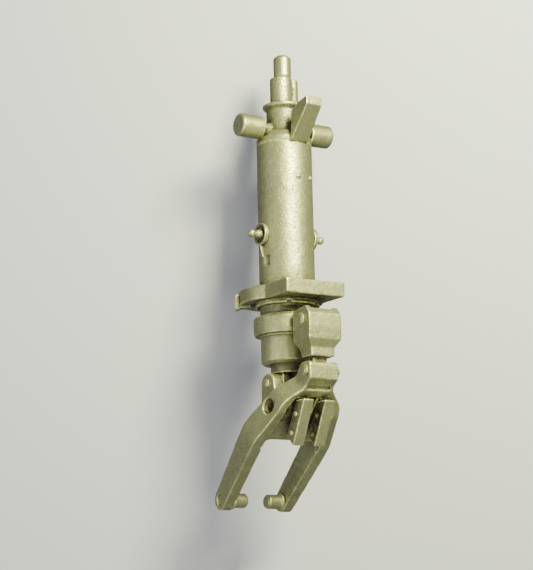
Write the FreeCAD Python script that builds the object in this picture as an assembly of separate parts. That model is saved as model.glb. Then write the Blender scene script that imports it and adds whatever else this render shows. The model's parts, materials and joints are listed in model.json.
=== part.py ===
"""Nose landing gear strut with a half-levered single-wheel fork, built as separate parts.

Frame, in millimetres: the origin is where the trunnion axis crosses the strut axis.
+Z runs up the strut, +X along the trunnion axis to the right, and -Y is forward, the side
of the link. Side outlines are given as (forward, up) and front outlines as (right, up).
"""
import FreeCAD, Part
import math
import os

UP = FreeCAD.Vector(0, 0, 1)
RIGHT = FreeCAD.Vector(1, 0, 0)
OVERCUT = 2.0              # how far a cutting tool stands past the wall that it cuts

# Clearances
seat_gap = 0.05            # radial gap of parts that are pressed or screwed together
running_gap = 0.06         # radial gap of shafts that turn or slide in their bushes
side_gap = 0.5             # gap between the side faces of parts that turn past each other

# Barrel, the outer cylinder
barrel_radius = 84.0
barrel_bore = 70.0
barrel_length = 487.0
drain_depth = 7.0          # small pocket low on the left side
drain_width = 20.0
drain_height = 32.0
drain_angle = 192.0
drain_lift = 62.0          # above the flange plate
fitting_angles = (-93.0, -57.0)
fitting_height = 160.0     # below the trunnion axis
fitting_radius = 9.0
fitting_base = 3.5
axis_to_barrel = 47.0      # from the trunnion axis down to the top of the barrel

# Head above the barrel
valve_offset = -6.0        # the valve body stands this far right of the strut axis
neck_radius = 52.0
shoulder_height = 42.0
shoulder_slope = 17.0
shoulder_bevel = 11.0
neck_lip_radius = 63.0
neck_lip_thickness = 8.0
neck_height = 126.0        # from the top of the barrel to the valve seat
head_plug_depth = 36.0

# Charging valve on the head
valve_radius = 34.0
valve_height = 86.0
stem_radius = 27.0
stem_height = 74.0
stem_undercut = 2.0
stem_undercut_height = 7.0
stem_cap_radius = 14.0
stem_cap_height = 9.0
lobe_radius = 18.0
lobe_angle = 4.0
lobe_reach = 42.0          # from the valve axis to the axis of the side port
lobe_height = 85.0

# Trunnions
trunnion_radius = 35.0
trunnion_tip = 162.0
trunnion_root = 85.0
trunnion_neck_radius = 17.0
trunnion_spigot_radius = 11.0
trunnion_spigot_root = 31.0
trunnion_bevel = 4.0

# Retraction arm on the front of the barrel top
arm_root_half = 31.0
arm_tip_half = 27.0
arm_reach = 173.0
arm_rise = 66.0
arm_tip_height = 27.0
arm_back = 86.0
arm_foot_depth = 6.0

# Door link studs on the barrel sides
stud_height = 331.0        # below the trunnion axis
stud_boss_radius = 34.0
stud_boss_face = 95.0
stud_dish_thickness = 12.0
stud_floor = 4.0
stud_rim = 5.0
stud_pad_radius = 30.0
stud_cone_radius = 17.0
stud_cone_reach = 13.0     # beyond the face of the boss
gusset_reach = 71.0
stud_ball_radius = 12.0
stud_ball_reach = 122.0
stud_stem_radius = 7.5
stud_root = 73.0
gusset_thickness = 5.0

# Flange plate round the foot of the barrel
flange_thickness = 43.0
flange_disc_radius = 126.0
flange_disc_back = 36.0
flange_front_half = 102.0
flange_front_reach = 157.0
hook_thickness = 13.0
hook_width = 38.0
hook_height = 44.0
hook_foot = 34.0
hook_foot_thickness = 8.0
hook_angle = 148.0
hook_drop = 11.0           # below the top of the flange plate

# Gland stack and the fixed sleeve below it
gland_nut_radius = 97.0
gland_nut_height = 15.0
notch_half = 7.0
notch_depth = 5.0
gland_ring_radius = 84.0
gland_ring_height = 31.0
groove_lift = 7.0
groove_height = 4.0
groove_depth = 3.0
sleeve_radius = 83.0
sleeve_bore = 65.0
sleeve_tail = 82.0         # below the collar's retaining ring
sleeve_edge = 8.0
sleeve_socket = 40.0       # length inside the barrel
wiper_mouth = 58.0
wiper_lip = 6.0
retainer_radius = 87.0
retainer_height = 5.0
retainer_split = 4.0       # half of its gap, at the back

# Steering collar
collar_radius = 104.0
collar_height = 55.0
collar_lip = 9.0
collar_step = 2.0
collar_bush_wall = 3.0
collar_lug_half = 38.0
collar_lug_slot = 14.0
link_pin_forward = 154.0
link_pin_drop = 32.5       # below the top of the collar
link_pin_radius = 12.0
link_eye_radius = 26.0

# Link between the collar and the fork
link_length = 150.0
link_lean = 9.0            # the lower pin stands this far ahead of the upper pin
link_half = 56.0
link_waist_half = 41.0
link_cheek = 16.0
link_web = 14.0
link_reach = 199.0
link_back = 110.0
link_tongue_half = 25.0

# Piston and its inner parts
piston_radius = 55.0
piston_bore = 46.0
piston_length = 430.0
piston_reach = 60.0        # from the foot of the sleeve down to the fork pivot
piston_lug_half = 42.0
piston_eye_radius = 30.0
piston_cap_height = 5.0
piston_plug = 40.0
metering_pin_seat = 20.0   # above the foot of the tube
fork_pin_radius = 12.0
bush_wall = 3.0
bearing_length = 60.0
wiper_height = 12.0
piston_head_height = 46.0
piston_head_cap = 8.0
seal_drop = 14.0           # from the end of the tube
seal_depth = 4.0
seal_height = 6.0
orifice_tube_radius = 24.0
orifice_tube_wall = 4.0
orifice_tube_length = 300.0
orifice_plate_thickness = 10.0
orifice_radius = 10.0
metering_pin_radius = 8.0
metering_pin_length = 330.0

# Fork
knee_eye_radius = 26.0
open_pivot_gap = 3.4       # radial room of the knee pin in the fork
tongue_eye_radius = 17.0
arm_angle = 43.8           # slope of the arms below the horizontal, towards the rear
# Outline along the arms: how far down the slope from the knee pin, and how far square to it
shoulder_along = 44.0
shoulder_above = 27.0
crown_along = 230.0
crown_above = 51.0
front_along = 130.0
front_below = 42.0
tip_along = 538.0
tip_above = 40.0
tip_below = 19.0
tip_round = 28.0
# Half widths, from the head down to the axle
fork_head_half = 50.0
waist_along = 42.0
flare_half = 100.0
flare_along = 98.0
arm_half = 135.0
arm_wide_along = 255.0
tip_half = 123.0
fork_arm_thickness = 35.0
gap_half = 97.0            # half width of the gap for the wheel where it begins
gap_along = 245.0
pocket_half = 80.0
pocket_along = 78.0
web_front_below = 22.0     # the web's front face, below the line of the arms
axle_along = 506.0
axle_above = 6.0
tow_along = 144.0
tow_above = 8.0
tow_bush_half = 104.0
fork_lug_thickness = 38.0
spigot_radius = 22.0
spigot_tip = 35.0          # from the middle plane to the end of each axle spigot
spigot_flange_radius = 27.0
spigot_flange_height = 6.5
spigot_proud = 1.5         # from the arm's face to the flange
spigot_step = 2.0          # from the spigot down to its seat in the arm
spigot_seat = 31.0
spigot_bevel = 6.0
tow_radius = 21.0
tow_bush_wall = 3.0

# Yoke plates on the front of the fork
yoke_slot_half = 19.0
yoke_plate_width = 36.0
yoke_tongue_setback = 20.0
yoke_top_drop = 62.0       # drops are below the fork's pivot
yoke_top_front = 162.0
yoke_top_back = 117.0
yoke_foot_drop = 194.0
yoke_foot_front = 95.0
yoke_heel_drop = 160.0
yoke_heel_back = 64.0
yoke_bolt_places = ((114.0, 103.0), (88.0, 156.0))
yoke_bolt_radius = 5.0
yoke_head_radius = 9.0
yoke_head_height = 6.0

# Heads of the pivot pins
link_pin_head = 21.0
knee_pin_head = 17.0
fork_pin_head = 15.0
pin_head_height = 8.0
pin_nut_height = 9.0
pin_head_bevel = 7.0
pin_proud = 4.0            # past the nut

# Values that follow
barrel_top = -axis_to_barrel
barrel_foot = barrel_top - barrel_length
flange_top = barrel_foot + flange_thickness
nut_foot = barrel_foot - gland_nut_height
gland_foot = nut_foot - gland_ring_height
collar_top = gland_foot - side_gap
collar_foot = collar_top - collar_height
retainer_foot = collar_foot - side_gap - retainer_height
sleeve_foot = retainer_foot - sleeve_tail
valve_seat = barrel_top + neck_height
orifice_tube_top = barrel_top - 10.0
valve_top = valve_seat + valve_height
pivot_z = sleeve_foot - piston_reach
piston_foot = pivot_z + piston_eye_radius + 8.0
link_z = collar_top - link_pin_drop
knee_forward = link_pin_forward + link_lean
knee_z = link_z - link_length
link_waist_z = knee_z + 68.0
link_lug_z = knee_z + 41.0
fork_cheek_inner = piston_lug_half + side_gap
fork_cheek_outer = fork_cheek_inner + fork_lug_thickness
yoke_outer = yoke_slot_half + yoke_plate_width
knee_half = fork_head_half + side_gap


def at(x, forward, z):
    """A point from its place to the right, forward and up."""
    return FreeCAD.Vector(x, -forward, z)


def arm_point(along, above):
    """Forward and up of a place down the arms' slope from the knee pin, and square to it."""
    turn = math.radians(arm_angle)
    forward = knee_forward - along * math.cos(turn) - above * math.sin(turn)
    return forward, knee_z - along * math.sin(turn) + above * math.cos(turn)


axle_forward, axle_z = arm_point(axle_along, axle_above)
tow_forward, tow_z = arm_point(tow_along, tow_above)


def post(radius, low, high, x=0.0, forward=0.0):
    """Upright round bar between two heights."""
    return Part.makeCylinder(radius, high - low, at(x, forward, low), UP)


def ring(outer, inner, low, high, x=0.0):
    """Upright tube between two heights."""
    return post(outer, low, high, x).cut(post(inner, low - OVERCUT, high + OVERCUT, x))


def bar(radius, left, right, forward, z):
    """Round bar along X."""
    return Part.makeCylinder(radius, right - left, at(left, forward, z), RIGHT)


def box(left, right, back, front, low, high):
    """Square block; back and front are forward distances."""
    return Part.makeBox(right - left, front - back, high - low, at(left, front, low))


def mirrored(shape):
    """The same shape on the other side of the middle plane."""
    return shape.mirror(FreeCAD.Vector(0, 0, 0), RIGHT)


def outline(corners, place, rounded=True):
    """Closed wire through corners (u, w, size), rounded or bevelled; place gives each point."""
    points = [FreeCAD.Vector(u, w, 0) for u, w, size in corners]
    bends = []
    for i, (u, w, size) in enumerate(corners):
        corner = points[i]
        inward = (corner - points[i - 1]).normalize()
        outward = (points[(i + 1) % len(points)] - corner).normalize()
        half_turn = inward.getAngle(outward) / 2
        if size == 0 or half_turn < 1e-6:
            bends.append((corner, corner, corner))
            continue
        back = size * math.tan(half_turn) if rounded else size
        bisector = (outward - inward).normalize()
        middle = corner + bisector * size * (1 / math.cos(half_turn) - 1)
        bends.append((corner - inward * back, middle, corner + outward * back))
    edges = []
    for i, (start, middle, end) in enumerate(bends):
        if start != end and rounded:
            bend = [place(p.x, p.y) for p in (start, middle, end)]
            edges.append(Part.Arc(*bend).toShape())
        elif start != end:
            edges.append(Part.LineSegment(place(start.x, start.y), place(end.x, end.y)).toShape())
        following = bends[(i + 1) % len(bends)][0]
        if end.distanceToPoint(following) > 1e-6:
            line = [place(p.x, p.y) for p in (end, following)]
            edges.append(Part.LineSegment(*line).toShape())
    return Part.Wire(edges)


def side_plate(corners, left, right):
    """Side outline (forward, up, radius) as a solid between two X places."""
    face = Part.Face(outline(corners, lambda u, w: at(left, u, w)))
    return face.extrude(FreeCAD.Vector(right - left, 0, 0))


def front_plate(corners, back, front):
    """Front outline (right, up, radius) as a solid between two forward places."""
    face = Part.Face(outline(corners, lambda u, w: at(u, back, w)))
    return face.extrude(FreeCAD.Vector(0, back - front, 0))


def across_arm(corners, low, high):
    """Outline (right, along the slope, radius) as a solid between two heights above the slope."""
    face = Part.Face(outline(corners, lambda u, w: at(u, *arm_point(w, low))))
    return face.extrude(at(0, *arm_point(0, high)) - at(0, *arm_point(0, low)))


def turned(corners, x=0.0):
    """Outline (radius, up, bevel) turned round an upright axis."""
    face = Part.Face(outline(corners, lambda u, w: at(x + u, 0, w), False))
    return face.revolve(at(x, 0, 0), UP, 360)


def turned_x(corners, forward, z):
    """Outline (along X, radius, bevel) turned round an axis along X."""
    face = Part.Face(outline(corners, lambda u, w: at(u, forward, z + w), False))
    return face.revolve(at(0, forward, z), RIGHT, 360)


def save(name, shape):
    """Write one part, with its split faces joined."""
    shape.removeSplitter().exportStep("parts/" + name + ".step")


# ---------------------------------------------------------------- barrel and head

def barrel():
    """Outer cylinder with its bore, side pads for the studs and a small drain pocket."""
    body = post(barrel_radius, barrel_foot, barrel_top)
    for side in (-1, 1):
        far = side * (stud_boss_face - stud_dish_thickness)
        pad = bar(stud_pad_radius, min(0, far), max(0, far), 0, -stud_height)
        body = body.fuse(pad)
        seat = side * (stud_ball_reach - stud_ball_radius)
        hole = bar(stud_stem_radius + seat_gap, min(0, seat), max(0, seat), 0, -stud_height)
        body = body.cut(hole)
    body = body.cut(post(barrel_bore, barrel_foot - OVERCUT, barrel_top + OVERCUT))
    pocket = Part.makeBox(2 * drain_depth, drain_width, drain_height)
    pocket.translate(FreeCAD.Vector(barrel_radius - drain_depth, -drain_width / 2, 0))
    pocket.rotate(FreeCAD.Vector(0, 0, 0), UP, drain_angle)
    pocket.translate(FreeCAD.Vector(0, 0, flange_top + drain_lift))
    return body.cut(pocket)


def head():
    """Head casting: plug, round shoulder, neck with a flared lip, and the trunnion bosses."""
    neck_foot = barrel_top + shoulder_height
    lip_foot = valve_seat - neck_lip_thickness
    lip_flare = neck_lip_radius - neck_radius
    shoulder = turned([
        (0, barrel_top, 0),
        (barrel_radius, barrel_top, 0),
        (barrel_radius, neck_foot - shoulder_slope, shoulder_bevel),
        (neck_radius, neck_foot, 0),
        (0, neck_foot, 0),
    ])
    neck = turned([
        (0, barrel_top, 0),
        (neck_radius, barrel_top, 0),
        (neck_radius, lip_foot - lip_flare, 0),
        (neck_lip_radius, lip_foot, 0),
        (neck_lip_radius, valve_seat, 0),
        (0, valve_seat, 0),
    ])
    plug = post(barrel_bore - seat_gap, barrel_top - head_plug_depth, barrel_top)
    body = shoulder.fuse(neck).fuse(plug)
    boss_reach = trunnion_root - side_gap
    body = body.fuse(bar(trunnion_neck_radius, -boss_reach, boss_reach, 0, 0))
    for side in (-1, 1):
        near = side * trunnion_spigot_root
        far = side * trunnion_tip
        hole = bar(trunnion_spigot_radius + seat_gap, min(near, far), max(near, far), 0, 0)
        body = body.cut(hole)
    socket = post(orifice_tube_radius + seat_gap, barrel_top - head_plug_depth - OVERCUT,
                  orifice_tube_top)
    return body.cut(socket)


def trunnion():
    """Right trunnion pin: journal with a bevelled end and a spigot in the head's boss."""
    journal = turned_x([
        (trunnion_root, 0, 0),
        (trunnion_root, trunnion_radius, 0),
        (trunnion_tip, trunnion_radius, trunnion_bevel),
        (trunnion_tip, 0, 0),
    ], 0, 0)
    spigot = bar(trunnion_spigot_radius, trunnion_spigot_root, trunnion_root + OVERCUT, 0, 0)
    return journal.fuse(spigot)


def retraction_arm():
    """Wedge arm on the front rim of the barrel, seated on the barrel and the shoulder."""
    rim = barrel_top
    side = side_plate([
        (arm_back - 22.0, rim - 1.0, 0),
        (arm_back - 6.0, rim + 10.0, 6),
        (arm_back, rim + 26.0, 10),
        (arm_back, rim + 86.0, 8),
        (arm_back + 38.0, arm_rise - 9.0, 14),
        (arm_reach, arm_rise, 3),
        (arm_reach, arm_rise - arm_tip_height, 3),
        (barrel_radius + 8.0, rim - 3.0, 12),
        (barrel_radius + 4.0, rim - arm_foot_depth, 3),
        (arm_back - 22.0, rim - arm_foot_depth, 0),
    ], -arm_root_half, arm_root_half)
    foot = rim - arm_foot_depth - OVERCUT
    front = front_plate([
        (-arm_root_half, foot, 0),
        (arm_root_half, foot, 0),
        (arm_tip_half, arm_rise - arm_tip_height, 0),
        (arm_tip_half, arm_rise + OVERCUT, 0),
        (-arm_tip_half, arm_rise + OVERCUT, 0),
        (-arm_tip_half, arm_rise - arm_tip_height, 0),
    ], 0, arm_reach + OVERCUT)
    body = side.common(front)
    body = body.cut(post(barrel_radius, rim - 2 * arm_foot_depth, rim))
    return body.cut(head())


def valve_body():
    """Charging valve body on the neck, with the flat for its side port."""
    body = turned([
        (0, valve_seat, 0),
        (valve_radius, valve_seat, 0),
        (valve_radius, valve_top, 3),
        (0, valve_top, 0),
    ], valve_offset)
    return body.cut(side_port(lobe_radius + seat_gap))


def side_port(radius):
    """Parallel port beside the valve body."""
    x = valve_offset + lobe_reach * math.cos(math.radians(lobe_angle))
    forward = -lobe_reach * math.sin(math.radians(lobe_angle))
    return post(radius, valve_seat, valve_seat + lobe_height, x, forward)


def valve_stem():
    """Stem and cap on the valve body, with a worn round top."""
    return turned([
        (0, valve_top, 0),
        (stem_radius - stem_undercut, valve_top, 0),
        (stem_radius - stem_undercut, valve_top + stem_undercut_height, 0),
        (stem_radius, valve_top + stem_undercut_height, 0),
        (stem_radius, valve_top + stem_height - stem_cap_height, 0),
        (stem_cap_radius, valve_top + stem_height, 0),
        (0, valve_top + stem_height, 0),
    ])


def stud_boss():
    """Right dished boss that clamps the door link stud."""
    root = math.sqrt(barrel_radius ** 2 - stud_pad_radius ** 2)
    seat = stud_boss_face - stud_dish_thickness
    gusset_foot = -stud_height - gusset_reach
    disc = turned_x([
        (seat, 0, 0),
        (seat, stud_boss_radius, 0),
        (stud_boss_face, stud_boss_radius, 0),
        (stud_boss_face, stud_boss_radius - stud_rim, 0),
        (seat + stud_floor, stud_cone_radius + stud_rim, 0),
        (seat + stud_floor, stud_cone_radius, 0),
        (stud_boss_face + stud_cone_reach, stud_stem_radius + 2.0, 0),
        (stud_boss_face + stud_cone_reach, 0, 0),
    ], 0, -stud_height)
    gusset = side_plate([
        (-gusset_thickness / 2, -stud_height - stud_pad_radius, 0),
        (gusset_thickness / 2, -stud_height - stud_pad_radius, 0),
        (gusset_thickness / 2, gusset_foot, 0),
        (-gusset_thickness / 2, gusset_foot, 0),
    ], root, stud_boss_face)
    slope = front_plate([
        (barrel_radius - OVERCUT, -stud_height, 0),
        (stud_boss_face + OVERCUT, -stud_height, 0),
        (stud_boss_face, -stud_height - stud_boss_radius, 0),
        (barrel_radius + OVERCUT, gusset_foot, 0),
        (barrel_radius - OVERCUT, gusset_foot, 0),
    ], -stud_boss_radius, stud_boss_radius)
    body = disc.fuse(gusset.common(slope))
    body = body.cut(post(barrel_radius, barrel_foot, barrel_top))
    pad = bar(stud_pad_radius, 0, seat, 0, -stud_height)
    hole = bar(stud_stem_radius + seat_gap, 0, stud_ball_reach, 0, -stud_height)
    return body.cut(pad).cut(hole)


def ball_stud():
    """Right door link stud: stem and ball."""
    stem = bar(stud_stem_radius, stud_root, stud_ball_reach, 0, -stud_height)
    return stem.fuse(Part.makeSphere(stud_ball_radius, at(stud_ball_reach, 0, -stud_height)))


def grease_fittings():
    """Two small fittings on the front of the barrel."""
    fittings = []
    for angle in fitting_angles:
        fitting = post(fitting_radius, 0, fitting_base)
        fitting = fitting.fuse(post(fitting_radius / 2, fitting_base, 2 * fitting_base))
        fitting.rotate(FreeCAD.Vector(0, 0, 0), FreeCAD.Vector(0, 1, 0), 90)
        fitting.translate(FreeCAD.Vector(barrel_radius - 0.6, 0, -fitting_height))
        fitting.rotate(FreeCAD.Vector(0, 0, 0), UP, angle)
        fittings.append(fitting.cut(post(barrel_radius, barrel_foot, barrel_top)))
    return Part.makeCompound(fittings)


# ---------------------------------------------------------------- flange and gland

def flange_plate():
    """Plate round the foot of the barrel: a disc with a square front."""
    disc = post(flange_disc_radius, barrel_foot, flange_top, 0, -flange_disc_back)
    half = flange_front_half
    front = Part.Face(outline([
        (-half, 0, 0), (half, 0, 0), (half, flange_front_reach, 3), (-half, flange_front_reach, 3),
    ], lambda u, w: at(u, w, barrel_foot)))
    plate = disc.fuse(front.extrude(FreeCAD.Vector(0, 0, flange_thickness)))
    return plate.cut(post(barrel_radius + seat_gap, barrel_foot - OVERCUT, flange_top + OVERCUT))


def hook_bracket():
    """Small hook under the rear left rim of the flange plate."""
    rim = flange_disc_radius + seat_gap
    foot_z = barrel_foot - hook_foot_thickness
    drop = flange_top - hook_drop
    plate = Part.makeBox(hook_thickness, hook_width, hook_height)
    plate.translate(FreeCAD.Vector(rim, -hook_width / 2, drop - hook_height))
    foot = Part.makeBox(hook_foot, hook_width, barrel_foot - foot_z)
    foot.translate(FreeCAD.Vector(rim - hook_foot + 1.0, -hook_width / 2, foot_z))
    hook = plate.fuse(foot)
    hook = hook.cut(post(rim, barrel_foot, flange_top))
    hook.rotate(FreeCAD.Vector(0, 0, 0), UP, hook_angle)
    hook.translate(at(0, -flange_disc_back, 0))
    return hook


def gland_nut():
    """Nut that closes the foot of the barrel, with spanner notches."""
    nut = ring(gland_nut_radius, barrel_bore + seat_gap, nut_foot, barrel_foot)
    for i in range(6):
        notch = box(-notch_half, notch_half, gland_nut_radius - notch_depth,
                    gland_nut_radius + notch_depth, nut_foot - OVERCUT, nut_foot + notch_half)
        notch.rotate(FreeCAD.Vector(0, 0, 0), UP, 60.0 * i + 30.0)
        nut = nut.cut(notch)
    return nut


def gland_ring():
    """Lock ring below the gland nut."""
    body = ring(gland_ring_radius, barrel_bore + seat_gap, gland_foot, nut_foot)
    low = gland_foot + groove_lift
    return body.cut(ring(gland_ring_radius + OVERCUT, gland_ring_radius - groove_depth,
                         low, low + groove_height))


def sleeve():
    """Fixed sleeve that carries the collar and the lower bearing."""
    body = turned([
        (sleeve_bore, barrel_foot + sleeve_socket, 0),
        (barrel_bore - seat_gap, barrel_foot + sleeve_socket, 0),
        (barrel_bore - seat_gap, gland_foot, 0),
        (sleeve_radius, gland_foot, 0),
        (sleeve_radius, sleeve_foot, sleeve_edge),
        (wiper_mouth, sleeve_foot, 0),
        (wiper_mouth, sleeve_foot + wiper_lip, 0),
        (sleeve_bore, sleeve_foot + wiper_lip, 0),
    ])
    groove = ring(sleeve_radius + OVERCUT, sleeve_radius - groove_depth,
                  retainer_foot, retainer_foot + retainer_height)
    return body.cut(groove)


def collar_retainer():
    """Split ring in the sleeve's groove that holds the collar up."""
    high = retainer_foot + retainer_height
    body = ring(retainer_radius, sleeve_radius - groove_depth, retainer_foot, high)
    return body.cut(box(-retainer_split, retainer_split, -retainer_radius - OVERCUT, 0,
                        retainer_foot - OVERCUT, high + OVERCUT))


def wiper_ring():
    """Wiper at the foot of the sleeve."""
    low = sleeve_foot + wiper_lip
    return ring(sleeve_bore - seat_gap, piston_radius + running_gap, low, low + wiper_height)


def lower_bearing():
    """Bearing bush in the sleeve above the wiper."""
    low = sleeve_foot + wiper_lip + wiper_height
    return ring(sleeve_bore - seat_gap, piston_radius + running_gap, low, low + bearing_length)


def orifice_tube():
    """Tube that hangs from the head into the piston."""
    return ring(orifice_tube_radius, orifice_tube_radius - orifice_tube_wall,
                orifice_tube_top - orifice_tube_length, orifice_tube_top)


def orifice_plate():
    """Plate with the metering hole, in the foot of the orifice tube."""
    low = orifice_tube_top - orifice_tube_length
    return ring(orifice_tube_radius - orifice_tube_wall - seat_gap, orifice_radius,
                low, low + orifice_plate_thickness)


# ---------------------------------------------------------------- steering collar

def steering_collar():
    """Collar that turns on the sleeve, with two lugs for the link's upper pin."""
    bore = sleeve_radius + collar_bush_wall + seat_gap
    body = turned([
        (bore, collar_foot, 0),
        (collar_radius - collar_step, collar_foot, 0),
        (collar_radius - collar_step, collar_foot + collar_lip, 0),
        (collar_radius, collar_foot + collar_lip, 0),
        (collar_radius, collar_top, 2 * collar_step),
        (bore, collar_top, 0),
    ])
    lug = side_plate([
        (sleeve_radius, link_z + link_eye_radius, 0),
        (link_pin_forward + link_eye_radius, link_z + link_eye_radius, link_eye_radius),
        (link_pin_forward + link_eye_radius, link_z - link_eye_radius, link_eye_radius),
        (sleeve_radius, link_z - link_eye_radius, 0),
    ], -collar_lug_half, collar_lug_half)
    body = body.fuse(lug)
    body = body.cut(post(bore, collar_foot - OVERCUT, collar_top + OVERCUT))
    body = body.cut(post(retainer_radius + 2.0, link_z - 2 * link_eye_radius, collar_foot))
    slot = box(-collar_lug_slot, collar_lug_slot, collar_radius + 12.0,
               link_pin_forward + 2 * link_eye_radius, collar_foot, collar_top)
    hole = bar(link_pin_radius + bush_wall + seat_gap, -link_half, link_half, link_pin_forward, link_z)
    return body.cut(slot).cut(hole)


def collar_bush():
    """Bronze bush between the collar and the sleeve."""
    return ring(sleeve_radius + collar_bush_wall, sleeve_radius + running_gap, collar_foot, collar_top)


def bush_x(inner, outer, left, right, forward, z):
    """Plain bush along X."""
    return bar(outer, left, right, forward, z).cut(
        bar(inner, left - OVERCUT, right + OVERCUT, forward, z))


def collar_lug_bushes():
    """Bushes for the link's upper pin, one in each lug of the collar."""
    inner = link_pin_radius + running_gap
    outer = link_pin_radius + bush_wall
    right = bush_x(inner, outer, collar_lug_slot, collar_lug_half, link_pin_forward, link_z)
    return Part.makeCompound([right, mirrored(right)])


# ---------------------------------------------------------------- link

def link():
    """Channel-shaped link: two cheeks, a front web, and a tongue for the knee pin."""
    web = link_reach
    side = side_plate([
        (link_back, link_z + 30.0, 12),
        (web - 18.0, link_z + 39.0, 6),
        (web, link_z + 16.0, 8),
        (web + 2.0, link_z - 22.0, 60),
        (web, link_waist_z + 22.0, 5),
        (web - 14.0, link_waist_z, 5),
        (web - 14.0, link_lug_z, 0),
        (link_back + 22.0, link_lug_z, 0),
        (link_back + 14.0, link_waist_z - 8.0, 10),
        (link_back, link_waist_z + 18.0, 20),
    ], -link_half, link_half)
    front = front_plate([
        (-link_half, link_z + 40.0, 0),
        (link_half, link_z + 40.0, 0),
        (link_half, link_waist_z + 22.0, 8),
        (link_waist_half, link_waist_z, 6),
        (link_waist_half, knee_z, 0),
        (-link_waist_half, knee_z, 0),
        (-link_waist_half, link_waist_z, 6),
        (-link_half, link_waist_z + 22.0, 8),
    ], link_back - OVERCUT, web + 10.0)
    body = side.common(front)
    inner_half = link_half - link_cheek
    cavity = front_plate([
        (-inner_half, link_z + 60.0, 0),
        (inner_half, link_z + 60.0, 0),
        (inner_half, link_waist_z + 26.0, 8),
        (link_waist_half - 12.0, link_waist_z, 8),
        (12.0 - link_waist_half, link_waist_z, 8),
        (-inner_half, link_waist_z + 26.0, 8),
    ], link_back - OVERCUT, web - link_web)
    body = body.cut(cavity)
    tongue = box(-link_tongue_half, link_tongue_half, knee_forward - tongue_eye_radius,
                 knee_forward + 6.0, knee_z, link_waist_z)
    eye = bar(tongue_eye_radius, -link_tongue_half, link_tongue_half, knee_forward, knee_z)
    body = body.fuse(tongue).fuse(eye)
    upper = bar(link_pin_radius + seat_gap, -link_half - OVERCUT, link_half + OVERCUT,
                link_pin_forward, link_z)
    lower = bar(link_pin_radius + seat_gap, -link_half, link_half, knee_forward, knee_z)
    return body.cut(upper).cut(lower)


def pin(radius, head_radius, half, forward, z):
    """Pivot pin along X with a bevelled head on its left end."""
    end = half + pin_nut_height + pin_proud
    return turned_x([
        (-half - pin_head_height, 0, 0),
        (-half - pin_head_height, head_radius - pin_head_bevel, 0),
        (-half - pin_head_height / 3, head_radius, 0),
        (-half, head_radius, 0),
        (-half, radius, 0),
        (end, radius, 0),
        (end, 0, 0),
    ], forward, z)


def nut(radius, head_radius, half, forward, z):
    """Hexagon nut on the right end of a pin."""
    points = []
    for i in range(6):
        turn = math.radians(60.0 * i)
        points.append((forward + head_radius * math.cos(turn), z + head_radius * math.sin(turn), 0))
    body = side_plate(points, half, half + pin_nut_height)
    return body.cut(bar(radius + seat_gap, half - OVERCUT, half + pin_nut_height + OVERCUT, forward, z))


# ---------------------------------------------------------------- piston

def piston_tube():
    """Chromed piston tube."""
    return ring(piston_radius, piston_bore, piston_foot, piston_foot + piston_length)


def piston_end():
    """End fitting: plug in the tube and an eye for the fork pivot."""
    low = piston_foot
    plug = post(piston_bore - seat_gap, low, low + piston_plug)
    cap = post(piston_radius, low - piston_cap_height, low)
    eye = side_plate([
        (-piston_eye_radius, low - OVERCUT, 0),
        (-piston_eye_radius, pivot_z - piston_eye_radius, piston_eye_radius),
        (piston_eye_radius, pivot_z - piston_eye_radius, piston_eye_radius),
        (piston_eye_radius, low - OVERCUT, 0),
    ], -piston_lug_half, piston_lug_half)
    body = plug.fuse(cap).fuse(eye)
    hole = bar(fork_pin_radius + bush_wall + seat_gap, -piston_lug_half - OVERCUT,
               piston_lug_half + OVERCUT, 0, pivot_z)
    socket = post(metering_pin_radius + seat_gap, low + metering_pin_seat, low + piston_plug + OVERCUT)
    return body.cut(hole).cut(socket)


def metering_pin():
    """Tapered pin that moves through the orifice plate."""
    low = piston_foot + metering_pin_seat
    return turned([
        (0, low, 0),
        (metering_pin_radius, low, 0),
        (metering_pin_radius, low + 0.6 * metering_pin_length, 0),
        (0.6 * metering_pin_radius, low + metering_pin_length, 0),
        (0, low + metering_pin_length, 0),
    ])


def piston_head():
    """Piston head screwed on the tube, with a groove for its seal."""
    high = piston_foot + piston_length
    low = high - piston_head_height
    body = ring(barrel_bore - running_gap, piston_radius + seat_gap, low, high)
    body = body.fuse(ring(barrel_bore - running_gap, piston_bore, high, high + piston_head_cap))
    groove = ring(barrel_bore + OVERCUT, barrel_bore - seal_depth, high - seal_drop,
                  high - seal_drop + seal_height)
    return body.cut(groove)


def piston_seal():
    """Seal ring in the groove of the piston head."""
    high = piston_foot + piston_length
    return ring(barrel_bore - running_gap, barrel_bore - seal_depth, high - seal_drop,
                high - seal_drop + seal_height)


# ---------------------------------------------------------------- fork

def fork_side():
    """Side outline of the fork, from the knee eye over the crown down to the axle."""
    kf = knee_forward
    kz = knee_z
    eye = knee_eye_radius
    return [
        (kf - eye, kz + eye, eye),
        (kf + eye - 1.0, kz + eye, 12),
        (kf + eye - 1.0, kz - eye, 5),
        (kf + 3.0, kz - eye - 14.0, 8),
        (kf - 12.0, kz - eye - 32.0, 8),
        (kf - 34.0, kz - eye - 52.0, 14),
        (*arm_point(front_along, -front_below), 80),
        (*arm_point(tip_along, -tip_below), tip_round),
        (*arm_point(tip_along, tip_above), tip_round),
        (*arm_point(crown_along, crown_above), 90),
        (*arm_point(shoulder_along, shoulder_above), 20),
    ]


def both_sides(right):
    """An outline's right half and its mirror image."""
    return right + [(-x, along, radius) for x, along, radius in reversed(right)]


def fork_widths():
    """Outer outline of the fork, seen square to the slope of its arms."""
    return both_sides([
        (fork_head_half, -2 * knee_eye_radius, 0),
        (fork_head_half, waist_along, 25),
        (flare_half, flare_along, 45),
        (arm_half, arm_wide_along, 150),
        (tip_half, tip_along + OVERCUT, 0),
    ])


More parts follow.
